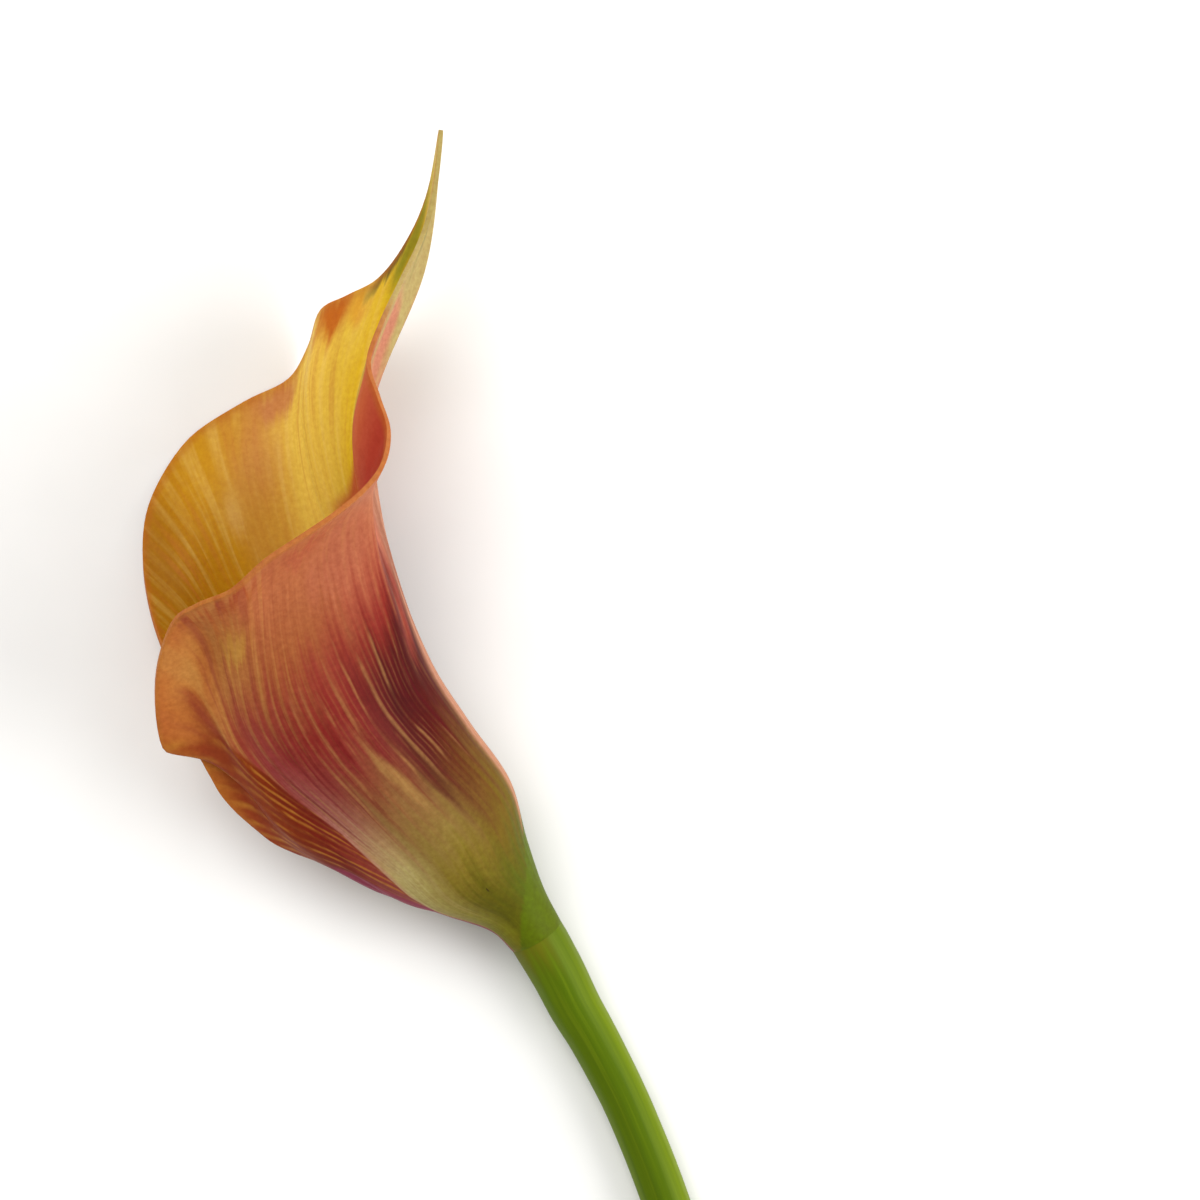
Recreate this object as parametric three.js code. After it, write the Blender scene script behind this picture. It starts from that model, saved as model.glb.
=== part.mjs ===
// A cut arum lily (calla) flower that lies on a table: one rolled spathe, the spadix inside it,
// and the leafless stem that carries both. Millimetres, +Z up, table at z = 0, +Y from the cut
// end of the stem towards the tail of the spathe. The origin is on the table under the middle.
import * as THREE from "three";

// ---------------------------------------------------------------- driving dimensions
const NECK = new THREE.Vector3(-1.7, 29.5, 5.6); // where the stem meets the spathe
const TUBE_TURN = 31.7; // degrees that the spathe's tube leans to the left of +Y
const TUBE_RISE = 14; // degrees that it climbs from the table

// The tube of the spathe: distance along its axis, sideways drift of its centre, outer radius.
const TUBE = [
  [0, 0, 4.1],
  [5, -0.5, 5.0],
  [10, -2.1, 7.3],
  [15, -2.8, 9.8],
  [22, -3.0, 11.7],
  [31, -4.9, 13.1],
  [43, -7.0, 15.2],
];
const TUBE_TOP = 43; // the veins leave the tube for the mouth here at the latest

// The rim of the spathe, one line a vein: degrees round the tube (0 is the midrib, 90 the top),
// then the rim point measured from NECK, the angle at which the rim turns out from the axis,
// and the length of tube that the turn takes up.
const RIM = [
  // far margin, rolled in under the near one
  [-172, -47.9, 32.1, 13.0, 10, 12],
  [-158, -52.1, 38.7, 8.4, 22, 14],
  [-143, -55.2, 46.8, 3.4, 35, 16],
  // far lip, which comes down to the table
  [-128, -56.4, 54.8, -1.1, 45, 18],
  [-113, -55.1, 62.7, -3.8, 55, 20],
  [-98, -49.8, 71.1, -5.6, 62, 20],
  [-82, -42.0, 76.3, -5.6, 64, 20],
  [-66, -35.4, 79.7, -5.4, 62, 20],
  [-50, -32.3, 84.4, -3.8, 60, 20],
  [-38, -30.4, 89.4, -0.6, 60, 20],
  // far side of the tail
  [-28, -26.5, 91.3, 3.2, 55, 20],
  [-19, -21.8, 93.6, 7.4, 50, 20],
  [-11, -17.8, 98.7, 9.9, 45, 20],
  [-5, -14.6, 106.0, 10.8, 40, 20],
  [0, -13.0, 114.4, 11.9, 30, 20],
  // near side of the tail
  [4, -13.8, 105.7, 14.4, 40, 20],
  [9, -15.4, 99.3, 17.0, 45, 20],
  [15, -18.3, 92.8, 19.8, 45, 20],
  [21, -21.0, 86.8, 22.7, 50, 20],
  [27, -22.7, 81.1, 25.8, 72, 20],
  // near lip, rolled well back beside the tail
  [34, -21.3, 76.3, 28.4, 86, 20],
  [42, -19.8, 71.5, 29.9, 98, 20],
  [51, -20.4, 66.9, 31.9, 101, 20],
  [61, -22.9, 63.2, 34.4, 101, 20],
  // near lip
  [73, -26.9, 59.7, 37.2, 90, 20],
  [87, -31.5, 56.5, 39.6, 74, 20],
  [102, -36.4, 53.2, 40.6, 62, 20],
  [118, -41.1, 49.1, 40.0, 58, 21],
  [134, -46.2, 47.0, 37.2, 56, 22],
  [149, -49.9, 44.4, 32.7, 56, 23],
  [163, -52.6, 36.5, 25.9, 58, 22],
  [174, -52.2, 27.2, 18.4, 60, 20],
  // corner of the near margin, which runs from here down to the neck
  [182, -47.9, 26.3, 16.0, 48, 18],
  [188, -46.1, 23.6, 14.2, 38, 18],
  [194, -44.5, 20.6, 12.6, 28, 17],
  [199, -42.5, 18.1, 11.1, 20, 15],
  [204, -40.2, 15.9, 9.6, 12, 13],
];

// The midrib past the tube, measured from NECK: it bends back and runs out into the tail.
const MIDRIB = [
  [-22.5, 63.4, 15.4],
  [-22.8, 74.7, 15.4],
  [-19.6, 83.9, 14.4],
  [-15.5, 94.5, 13.4],
  [-13.7, 103.8, 12.4],
  [-13.0, 114.4, 11.4],
];
const MIDRIB_WIDTH = [5, 95]; // veins nearer than the first follow the midrib, past the second none

const SHEET_THICK = 0.95; // spathe wall along the tube
const SHEET_THIN = 0.65; // and at its rim
const LAYER_GAP = 2.0; // the inner margin lies this far inside the outer one
const NECK_SQUEEZE = 0.05; // share by which the margins draw apart at the neck
const SKIRT = 5.7; // the near margin swings out from the tube by this much on its way up
const SKIRT_FROM = [160, 140]; // degrees round the tube, low down and higher up
const MARGIN_TURN = [24, 14]; // degrees that the near and the far margin are turned towards the top
const VEIN_STEPS = 2; // mesh rows for each vein
const ALONG_STEPS = 24; // mesh columns from the neck to the rim

// The stem's middle line from NECK down to the cut end, with its radius.
const STEM = [
  [0, 0, 0, 4.1],
  [0.9, -1.5, -0.35, 4.1],
  [3.3, -5.8, -1.15, 3.94],
  [5.5, -10.2, -1.65, 3.8],
  [8.0, -14.5, -2.05, 3.6],
  [10.3, -18.8, -2.3, 3.5],
  [12.5, -23.2, -2.4, 3.42],
  [14.4, -27.5, -2.4, 3.4],
  [17.8, -36.1, -2.4, 3.42],
  [22.9, -51.5, -2.35, 3.45],
  [32.1, -82.0, -2.3, 3.52],
  [40.9, -113.0, -2.25, 3.58],
  [49.0, -143.0, -2.2, 3.64],
  [56.6, -172.5, -2.15, 3.7],
];
const STEM_SIDES = 20;
const STEM_STEPS = 27;
const SEAT_GAP = 0.3; // clearance between the pieces at the neck
const SEAT_RADIUS = 2.4; // the stem's boss inside the foot of the spathe
const SEAT_TOP = 3;

const SPADIX_TOP = 42; // distance along the tube's axis
const SPADIX_FOOT_RADIUS = 1.9;
const SPADIX_RADIUS = 3.0;
const SPADIX_SIDES = 24;
const SPADIX_STEPS = 40;
const FLORETS_ROUND = 8;
const FLORET_RELIEF = 0.16;

// ---------------------------------------------------------------- frame of the tube
const rad = THREE.MathUtils.degToRad;
const AXIS = new THREE.Vector3(
  -Math.sin(rad(TUBE_TURN)) * Math.cos(rad(TUBE_RISE)),
  Math.cos(rad(TUBE_TURN)) * Math.cos(rad(TUBE_RISE)),
  Math.sin(rad(TUBE_RISE)),
);
const SIDE = new THREE.Vector3(Math.cos(rad(TUBE_TURN)), Math.sin(rad(TUBE_TURN)), 0);
const TOP = new THREE.Vector3().crossVectors(SIDE, AXIS);

function fromNeck([x, y, z]) {
  return new THREE.Vector3(x, y, z).add(NECK);
}

// 0 before a, 1 after b, and a smooth step between them.
function ease(a, b, x) {
  return THREE.MathUtils.smoothstep(x, a, b);
}

// Centre drift and radius of the tube at a distance along its axis.
function tubeAt(h) {
  const last = TUBE.length - 1;
  let i = 0;
  while (i < last - 1 && TUBE[i + 1][0] < h) i += 1;
  const span = TUBE[i + 1][0] - TUBE[i][0];
  const f = THREE.MathUtils.clamp((h - TUBE[i][0]) / span, 0, 1);
  const slope = (k, column) => {
    const before = TUBE[Math.max(k - 1, 0)];
    const after = TUBE[Math.min(k + 1, last)];
    return (after[column] - before[column]) / (after[0] - before[0]);
  };
  return [1, 2].map((column) => {
    const start = (2 * f ** 3 - 3 * f ** 2 + 1) * TUBE[i][column];
    const startSlope = (f ** 3 - 2 * f ** 2 + f) * span * slope(i, column);
    const end = (3 * f ** 2 - 2 * f ** 3) * TUBE[i + 1][column];
    const endSlope = (f ** 3 - f ** 2) * span * slope(i + 1, column);
    return start + startSlope + end + endSlope;
  });
}

function tubeCentre(h) {
  const [drift] = tubeAt(h);
  return NECK.clone().addScaledVector(AXIS, h).addScaledVector(SIDE, drift);
}

// A point of the tube's outer face. The far margin (below -115 degrees) lies inside the near
// one, and at the neck both draw apart, so that the sheet never meets itself.
function tubePoint(h, degrees) {
  const [, radius] = tubeAt(h);
  const inner = LAYER_GAP * ease(115, 165, -degrees) * ease(2, 9, h);
  const skirtFrom = THREE.MathUtils.lerp(...SKIRT_FROM, ease(8, 28, h));
  const skirt = SKIRT * ease(skirtFrom, RIM.at(-1)[0], degrees) * ease(4, 36, h);
  const turned = MARGIN_TURN[0] * ease(120, 204, degrees) + MARGIN_TURN[1] * ease(120, 172, -degrees);
  const squeezed = degrees * (1 - NECK_SQUEEZE * (1 - ease(5, 14, h)));
  const drawn = squeezed - turned * ease(6, 20, h);
  const reach = radius - inner + skirt;
  return tubeCentre(h)
    .addScaledVector(SIDE, Math.cos(rad(drawn)) * reach)
    .addScaledVector(TOP, Math.sin(rad(drawn)) * reach);
}

// A row of numbers between the rows of a table, by a Catmull-Rom spline.
function rowAt(rows, at) {
  const i = Math.min(Math.floor(at), rows.length - 2);
  const f = at - i;
  return rows[i].map((_, column) => {
    const p1 = rows[i][column];
    const p2 = rows[i + 1][column];
    const p0 = i > 0 ? rows[i - 1][column] : 2 * p1 - p2;
    const p3 = i + 2 < rows.length ? rows[i + 2][column] : 2 * p2 - p1;
    const a = 2 * p0 - 5 * p1 + 4 * p2 - p3;
    const b = 3 * p1 - p0 - 3 * p2 + p3;
    return 0.5 * (2 * p1 + (p2 - p0) * f + a * f * f + b * f ** 3);
  });
}

// A closed mesh from rings of points: the rings follow each other, the ends are fans.
function closedTube(rings) {
  const sides = rings[0].length;
  const points = rings.flat();
  const faces = [];
  for (let k = 0; k + 1 < rings.length; k += 1) {
    for (let j = 0; j < sides; j += 1) {
      const a = k * sides + j;
      const b = k * sides + ((j + 1) % sides);
      faces.push(a, b, b + sides, a, b + sides, a + sides);
    }
  }
  const middle = (ring) => {
    const sum = new THREE.Vector3();
    ring.forEach((p) => sum.add(p));
    return sum.divideScalar(sides);
  };
  const first = points.push(middle(rings[0])) - 1;
  const end = points.push(middle(rings.at(-1))) - 1;
  const lastRing = (rings.length - 1) * sides;
  for (let j = 0; j < sides; j += 1) {
    const next = (j + 1) % sides;
    faces.push(first, next, j);
    faces.push(end, lastRing + j, lastRing + next);
  }
  return toGeometry(points, faces);
}

function toGeometry(points, faces) {
  const geometry = new THREE.BufferGeometry();
  geometry.setFromPoints(points);
  geometry.setIndex(faces);
  geometry.computeVertexNormals();
  return geometry;
}

// ---------------------------------------------------------------- spathe
// The midrib as a curve, and the share of it that lies nearest to a rim point.
const midrib = new THREE.CatmullRomCurve3([tubePoint(TUBE_TOP, 0), ...MIDRIB.map(fromNeck)]);
const midribPoints = midrib.getSpacedPoints(100);

function nearestOnMidrib(point) {
  let best = 0;
  midribPoints.forEach((p, k) => {
    if (p.distanceTo(point) < midribPoints[best].distanceTo(point)) best = k;
  });
  return best / (midribPoints.length - 1);
}

// One vein from the neck to the rim: up the tube, then out to the rim point. Beside the midrib
// it keeps the midrib's bend instead, so that both sides of the tail close round it.
function vein([degrees, x, y, z, flare, turn]) {
  const rim = fromNeck([x, y, z]);
  const rimHeight = rim.clone().sub(NECK).dot(AXIS);
  const tubeTop = Math.min(TUBE_TOP, rimHeight - Math.min(turn, 0.6 * rimHeight));
  const points = [0, 0.12, 0.3, 0.5, 0.75, 1].map((f) => tubePoint(f * tubeTop, degrees));
  const leave = points.at(-1);
  const outward = rim.clone().sub(tubeCentre(Math.min(rimHeight, TUBE_TOP)));
  outward.addScaledVector(AXIS, -outward.dot(AXIS)).normalize();
  const start = leave.clone().sub(tubePoint(tubeTop - 3, degrees)).normalize();
  const finish = new THREE.Vector3()
    .addScaledVector(AXIS, Math.cos(rad(flare)))
    .addScaledVector(outward, Math.sin(rad(flare)));
  const reach = 0.38 * leave.distanceTo(rim);
  const lip = new THREE.CubicBezierCurve3(
    leave,
    leave.clone().addScaledVector(start, reach),
    rim.clone().addScaledVector(finish, -reach),
    rim,
  );
  const alongMidrib = 1 - ease(...MIDRIB_WIDTH, Math.abs(degrees));
  const share = nearestOnMidrib(rim);
  const fromRim = rim.clone().sub(midrib.getPointAt(share));
  const fromTube = leave.clone().sub(midribPoints[0]);
  for (const f of [0.25, 0.5, 0.75]) {
    const beside = midrib.getPointAt(share * f)
      .addScaledVector(fromTube, (1 - f) ** 1.5)
      .addScaledVector(fromRim, f);
    points.push(lip.getPoint(f).lerp(beside, alongMidrib));
  }
  points.push(rim);
  return new THREE.CatmullRomCurve3(points).getSpacedPoints(ALONG_STEPS);
}

// The sheet's outer face is a grid of veins, and its inner face lies one wall inside.
function spatheGeometry() {
  const rows = (RIM.length - 1) * VEIN_STEPS + 1;
  const columns = ALONG_STEPS + 1;
  const outer = [];
  for (let i = 0; i < rows; i += 1) {
    const points = vein(rowAt(RIM, i / VEIN_STEPS));
    points.forEach((p) => { p.z = Math.max(p.z, 0); });
    outer.push(points);
  }
  const inner = outer.map((row, i) => row.map((p, j) => {
    const across = outer[Math.min(i + 1, rows - 1)][j].clone().sub(outer[Math.max(i - 1, 0)][j]);
    const along = row[Math.min(j + 1, columns - 1)].clone().sub(row[Math.max(j - 1, 0)]);
    const inwards = across.cross(along).normalize();
    const wall = THREE.MathUtils.lerp(SHEET_THICK, SHEET_THIN, ease(0.5, 1, j / ALONG_STEPS));
    const q = p.clone().addScaledVector(inwards, wall);
    q.z = Math.max(q.z, SHEET_THIN);
    return q;
  }));
  const points = [...outer.flat(), ...inner.flat()];
  const shift = rows * columns;
  const faces = [];
  const quad = (a, b, c, d) => faces.push(a, b, c, a, c, d);
  for (let i = 0; i + 1 < rows; i += 1) {
    for (let j = 0; j + 1 < columns; j += 1) {
      const a = i * columns + j;
      const b = a + columns;
      faces.push(a, b + 1, b, a, a + 1, b + 1);
      faces.push(a + shift, b + shift, b + 1 + shift, a + shift, b + 1 + shift, a + 1 + shift);
    }
    const foot = i * columns;
    const rim = foot + columns - 1;
    quad(foot, foot + columns, foot + columns + shift, foot + shift);
    quad(rim, rim + shift, rim + columns + shift, rim + columns);
  }
  const last = (rows - 1) * columns;
  for (let j = 0; j + 1 < columns; j += 1) {
    quad(j, j + shift, j + 1 + shift, j + 1);
    quad(last + j, last + j + 1, last + j + 1 + shift, last + j + shift);
  }
  return toGeometry(points, faces);
}

// ---------------------------------------------------------------- spadix
// A blunt finger along the middle of the tube, covered with florets in alternate rings.
function spadixGeometry() {
  const foot = SEAT_TOP + SEAT_GAP;
  const rings = [];
  for (let k = 0; k <= SPADIX_STEPS; k += 1) {
    const f = k / SPADIX_STEPS;
    const h = THREE.MathUtils.lerp(foot, SPADIX_TOP, Math.sin(f * Math.PI * 0.5) ** 0.9);
    const share = (h - foot) / (SPADIX_TOP - foot);
    const swell = THREE.MathUtils.lerp(SPADIX_FOOT_RADIUS, SPADIX_RADIUS, ease(0, 0.25, share));
    const tip = Math.sqrt(Math.max(1 - Math.max((share - 0.9) / 0.101, 0) ** 2, 0));
    const radius = swell * (1 - 0.12 * ease(0.5, 0.95, share)) * tip;
    const covered = ease(0.02, 0.08, share) * (1 - ease(0.93, 0.99, share));
    const centre = tubeCentre(h);
    const ring = [];
    for (let j = 0; j < SPADIX_SIDES; j += 1) {
      const angle = (2 * Math.PI * j) / SPADIX_SIDES;
      const floret = FLORET_RELIEF * covered * Math.cos(FLORETS_ROUND * angle + Math.PI * k);
      ring.push(centre.clone()
        .addScaledVector(SIDE, Math.cos(angle) * (radius + floret))
        .addScaledVector(TOP, Math.sin(angle) * (radius + floret)));
    }
    rings.push(ring);
  }
  return closedTube(rings.map((ring) => ring.reverse()));
}

// ---------------------------------------------------------------- stem
// Round, a little flat where it lies on the table, cut straight at its end. Its top is a
// shoulder under the spathe and a boss inside the spathe's foot that carries the spadix.
function stemRing(centre, along, radius) {
  const across = new THREE.Vector3().crossVectors(along, new THREE.Vector3(0, 0, 1)).normalize();
  const up = new THREE.Vector3().crossVectors(across, along).normalize();
  const ring = [];
  for (let j = 0; j < STEM_SIDES; j += 1) {
    const angle = (2 * Math.PI * j) / STEM_SIDES - Math.PI / 2;
    const p = centre.clone()
      .addScaledVector(across, Math.cos(angle) * radius)
      .addScaledVector(up, Math.sin(angle) * radius);
    p.z = Math.max(p.z, 0);
    ring.push(p);
  }
  return ring;
}

function stemGeometry() {
  const path = new THREE.CatmullRomCurve3(STEM.map(fromNeck));
  const rings = [
    stemRing(tubeCentre(0).addScaledVector(AXIS, SEAT_TOP), AXIS, SEAT_RADIUS - 0.3),
    stemRing(tubeCentre(0).addScaledVector(AXIS, SEAT_TOP - 0.5), AXIS, SEAT_RADIUS),
    stemRing(tubeCentre(0).addScaledVector(AXIS, -SEAT_GAP), AXIS, SEAT_RADIUS),
    stemRing(tubeCentre(0).addScaledVector(AXIS, -SEAT_GAP), AXIS, STEM[0][3]),
  ];
  for (let k = 1; k <= STEM_STEPS; k += 1) {
    const t = (k / STEM_STEPS) ** 1.25;
    const [, , , radius] = rowAt(STEM, t * (STEM.length - 1));
    const along = path.getTangent(t).negate();
    rings.push(stemRing(path.getPoint(t), along, radius));
  }
  return closedTube(rings);
}

// ---------------------------------------------------------------- assembly
const flower = new THREE.Group();

function place(name, geometry, finish) {
  const mesh = new THREE.Mesh(geometry, new THREE.MeshStandardMaterial(finish));
  mesh.name = name;
  flower.add(mesh);
}

place("spathe", spatheGeometry(), { color: "#c8763a", roughness: 0.45, metalness: 0 });
place("spadix", spadixGeometry(), { color: "#e2a51c", roughness: 0.7, metalness: 0 });
place("stem", stemGeometry(), { color: "#7d9a2c", roughness: 0.4, metalness: 0 });

export default flower;
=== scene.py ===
# A cut arum lily (calla) flower that lies on a table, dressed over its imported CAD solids.
import math

import bmesh
import bpy
import numpy as np
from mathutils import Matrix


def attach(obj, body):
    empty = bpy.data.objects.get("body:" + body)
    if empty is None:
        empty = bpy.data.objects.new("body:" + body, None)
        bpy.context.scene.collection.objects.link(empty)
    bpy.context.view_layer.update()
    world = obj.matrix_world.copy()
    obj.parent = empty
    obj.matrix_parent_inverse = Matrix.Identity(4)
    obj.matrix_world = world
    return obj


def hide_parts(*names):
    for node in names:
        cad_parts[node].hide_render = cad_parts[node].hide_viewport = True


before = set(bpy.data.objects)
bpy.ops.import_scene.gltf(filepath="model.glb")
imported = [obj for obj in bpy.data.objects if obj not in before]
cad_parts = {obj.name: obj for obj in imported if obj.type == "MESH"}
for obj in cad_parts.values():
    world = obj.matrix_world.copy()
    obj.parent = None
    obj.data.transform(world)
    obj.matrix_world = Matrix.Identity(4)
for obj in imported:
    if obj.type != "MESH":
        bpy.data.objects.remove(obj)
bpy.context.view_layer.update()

# ------------------------------------------------------------------------------- spathe
# The spathe is one leaf of waxy flesh about a millimetre thick. It is rolled into a tube
# round the spadix, its far lip lies on the table, its near lip is rolled back, and its
# midrib runs out into a tail. It is drawn as its veins, each from the neck to the rim.
MM = 0.001
PER_MM = 1000  # cells of a pattern that is laid out in metres
NECK = np.array((-1.7, 29.5, 5.6))  # mm, where the stem meets the spathe
TUBE_TURN = math.radians(31.7)  # the tube leans to the left of +Y
TUBE_RISE = math.radians(14)  # and climbs from the table
AXIS = np.array((
    -math.sin(TUBE_TURN) * math.cos(TUBE_RISE),
    math.cos(TUBE_TURN) * math.cos(TUBE_RISE),
    math.sin(TUBE_RISE),
))
SIDE = np.array((math.cos(TUBE_TURN), math.sin(TUBE_TURN), 0))
TOP = np.cross(SIDE, AXIS)

# Distance along the tube, sideways drift of its middle, outer radius, in mm.
TUBE = np.array((
    (0, 0, 4.1), (5, -0.5, 5.0), (10, -2.1, 7.3), (15, -2.8, 9.8),
    (22, -3.0, 11.7), (31, -4.9, 13.1), (43, -7.0, 15.2),
), float)
TUBE_TOP = 43

# One vein a line: degrees round the tube (0 midrib, 90 top), rim point from the neck in mm,
# the angle at which the rim turns out, and the length of tube that the turn takes up.
RIM = np.array((
    # far margin, rolled in under the near one
    (-172, -47.9, 32.1, 13.0, 10, 12), (-158, -52.1, 38.7, 8.4, 22, 14),
    (-143, -55.2, 46.8, 3.4, 35, 16),
    # far lip, which comes down to the table
    (-128, -56.4, 54.8, -1.1, 45, 18), (-113, -55.1, 62.7, -3.8, 55, 20),
    (-98, -49.8, 71.1, -5.6, 62, 20), (-82, -42.0, 76.3, -5.6, 64, 20),
    (-66, -35.4, 79.7, -5.4, 62, 20), (-50, -32.3, 84.4, -3.8, 60, 20),
    (-38, -30.4, 89.4, -0.6, 60, 20),
    # far side of the tail, its tip, and its near side
    (-28, -26.5, 91.3, 3.2, 55, 20), (-19, -21.8, 93.6, 7.4, 50, 20),
    (-11, -17.8, 98.7, 9.9, 45, 20), (-5, -14.6, 106.0, 10.8, 40, 20),
    (0, -13.0, 114.4, 11.9, 30, 20), (4, -13.8, 105.7, 14.4, 40, 20),
    (9, -15.4, 99.3, 17.0, 45, 20), (15, -18.3, 92.8, 19.8, 45, 20),
    (21, -21.0, 86.8, 22.7, 50, 20), (27, -22.7, 81.1, 25.8, 72, 20),
    # near lip, rolled well back beside the tail
    (34, -21.3, 76.3, 28.4, 86, 20), (42, -19.8, 71.5, 29.9, 98, 20),
    (51, -20.4, 66.9, 31.9, 101, 20), (61, -22.9, 63.2, 34.4, 101, 20),
    (73, -26.9, 59.7, 37.2, 90, 20), (87, -31.5, 56.5, 39.6, 74, 20),
    (102, -36.4, 53.2, 40.6, 62, 20), (118, -41.1, 49.1, 40.0, 58, 21),
    (134, -46.2, 47.0, 37.2, 56, 22), (149, -49.9, 44.4, 32.7, 56, 23),
    (163, -52.6, 36.5, 25.9, 58, 22), (174, -52.2, 27.2, 18.4, 60, 20),
    # near margin, from the corner down to the neck
    (182, -47.9, 26.3, 16.0, 48, 18), (188, -46.1, 23.6, 14.2, 38, 18),
    (194, -44.5, 20.6, 12.6, 28, 17), (199, -42.5, 18.1, 11.1, 20, 15),
    (204, -40.2, 15.9, 9.6, 12, 13),
))
# The midrib past the tube, from the neck: it bends back and runs out into the tail.
MIDRIB = np.array((
    (-22.5, 63.4, 15.4), (-22.8, 74.7, 15.4), (-19.6, 83.9, 14.4),
    (-15.5, 94.5, 13.4), (-13.7, 103.8, 12.4), (-13.0, 114.4, 11.4),
))
FLESH = 0.95  # mm, wall along the tube
FLESH_AT_RIM = 0.65
LAYER_GAP = 2.0  # the far margin lies this far inside the near one
NECK_SQUEEZE = 0.05  # share by which the margins draw apart at the neck
SKIRT = 5.7  # the near margin swings out from the tube by this much on its way up
SKIRT_FROM = (160, 140)  # degrees round the tube, low down and higher up
MARGIN_TURN = (24, 14)  # degrees that near and far margin are turned towards the top
MIDRIB_WIDTH = (5, 95)  # veins nearer than the first follow the midrib, past the second none
BEND = 0.38  # how far a vein keeps its direction, as a share of the way to the rim


def ease(start, end, x):
    """0 before start, 1 after end, and a smooth step between them."""
    f = np.clip((np.asarray(x, float) - start) / (end - start), 0, 1)
    return f * f * (3 - 2 * f)


def between(rows, at):
    """A row of numbers between the rows of a table, on a smooth line through them."""
    i = min(int(at), len(rows) - 2)
    f = at - i
    p1, p2 = rows[i], rows[i + 1]
    p0 = rows[i - 1] if i > 0 else 2 * p1 - p2
    p3 = rows[i + 2] if i + 2 < len(rows) else 2 * p2 - p1
    bend = (2 * p0 - 5 * p1 + 4 * p2 - p3) * f * f + (3 * p1 - p0 - 3 * p2 + p3) * f**3
    return 0.5 * (2 * p1 + (p2 - p0) * f + bend)


def smooth_line(points, steps):
    """A smooth curve through the points, as steps + 1 points at even distances."""
    p = np.array(points, float)
    p = np.vstack([2 * p[0] - p[1], p, 2 * p[-1] - p[-2]])
    f = np.linspace(0, 1, 24, endpoint=False)[:, None]
    fine = []
    for a, b, c, d in zip(p, p[1:], p[2:], p[3:]):
        ab, bc, cd = (np.linalg.norm(w) ** 0.5 for w in (b - a, c - b, d - c))
        leave = ((b - a) / ab - (c - a) / (ab + bc)) * bc + c - b
        reach = ((d - c) / cd - (d - b) / (bc + cd)) * bc + c - b
        turn = 3 * (c - b) - 2 * leave - reach
        fine.append(b + leave * f + turn * f**2 + (2 * (b - c) + leave + reach) * f**3)
    fine = np.vstack(fine + [p[-2:-1]])
    gone = np.append(0, np.cumsum(np.linalg.norm(np.diff(fine, axis=0), axis=1)))
    at = np.linspace(0, gone[-1], steps + 1)
    return np.stack([np.interp(at, gone, column) for column in fine.T], 1)


def tube_at(h):
    """Drift of the tube's middle and its outer radius at a distance along the axis."""
    last = len(TUBE) - 1
    i = min(max(int(np.searchsorted(TUBE[:, 0], h)) - 1, 0), last - 1)
    span = TUBE[i + 1, 0] - TUBE[i, 0]
    f = min(max((h - TUBE[i, 0]) / span, 0), 1)

    def slope(k):
        before, after = TUBE[max(k - 1, 0)], TUBE[min(k + 1, last)]
        return (after - before) / (after[0] - before[0])

    start = (2 * f**3 - 3 * f**2 + 1) * TUBE[i] + (f**3 - 2 * f**2 + f) * span * slope(i)
    end = (3 * f**2 - 2 * f**3) * TUBE[i + 1] + (f**3 - f**2) * span * slope(i + 1)
    return (start + end)[1:]


def tube_middle(h):
    return NECK + AXIS * h + SIDE * tube_at(h)[0]


def tube_face(h, degrees):
    """A point of the tube's outer face. The far margin is the inner layer of the roll."""
    inner = LAYER_GAP * ease(115, 165, -degrees) * ease(2, 9, h)
    skirt_from = SKIRT_FROM[0] + (SKIRT_FROM[1] - SKIRT_FROM[0]) * float(ease(8, 28, h))
    skirt = SKIRT * ease(skirt_from, RIM[-1, 0], degrees) * ease(4, 36, h)
    near_turn, far_turn = MARGIN_TURN
    turned = near_turn * ease(120, 204, degrees) + far_turn * ease(120, 172, -degrees)
    squeezed = degrees * (1 - NECK_SQUEEZE * (1 - ease(5, 14, h)))
    drawn = math.radians(squeezed - turned * ease(6, 20, h))
    reach = tube_at(h)[1] - inner + skirt
    return tube_middle(h) + (SIDE * math.cos(drawn) + TOP * math.sin(drawn)) * reach


MIDRIB_STEPS = 800
midrib = smooth_line([tube_face(TUBE_TOP, 0), *(MIDRIB + NECK)], MIDRIB_STEPS)


def vein(row, steps):
    """One vein: up the tube, then out to the rim. Beside the midrib it keeps its bend."""
    degrees, flare, turn = row[0], math.radians(row[4]), row[5]
    rim = row[1:4] + NECK
    height = (rim - NECK) @ AXIS
    tube_end = min(TUBE_TOP, height - min(turn, 0.6 * height))
    points = [tube_face(f * tube_end, degrees) for f in (0, 0.12, 0.3, 0.5, 0.75, 1)]
    leave = points[-1]
    outward = rim - tube_middle(min(height, TUBE_TOP))
    outward -= AXIS * (outward @ AXIS)
    outward /= np.linalg.norm(outward)
    start = leave - tube_face(tube_end - 3, degrees)
    reach = BEND * np.linalg.norm(rim - leave)
    pull = leave + start / np.linalg.norm(start) * reach
    push = rim - (AXIS * math.cos(flare) + outward * math.sin(flare)) * reach
    nearest = int(np.argmin(np.linalg.norm(midrib - rim, axis=1)))
    along_midrib = 1 - float(ease(*MIDRIB_WIDTH, abs(degrees)))
    for f in (0.25, 0.5, 0.75):
        g = 1 - f
        lip = g**3 * leave + 3 * g * g * f * pull + 3 * g * f * f * push + f**3 * rim
        beside = (
            midrib[round(nearest * f)]
            + (leave - midrib[0]) * g**1.5
            + (rim - midrib[nearest]) * f
        )
        points.append(lip + (beside - lip) * along_midrib)
    return smooth_line(points + [rim], steps)


def nothing_selected():
    if bpy.context.object and bpy.context.object.mode != "OBJECT":
        bpy.ops.object.mode_set(mode="OBJECT")
    bpy.ops.object.select_all(action="DESELECT")


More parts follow.
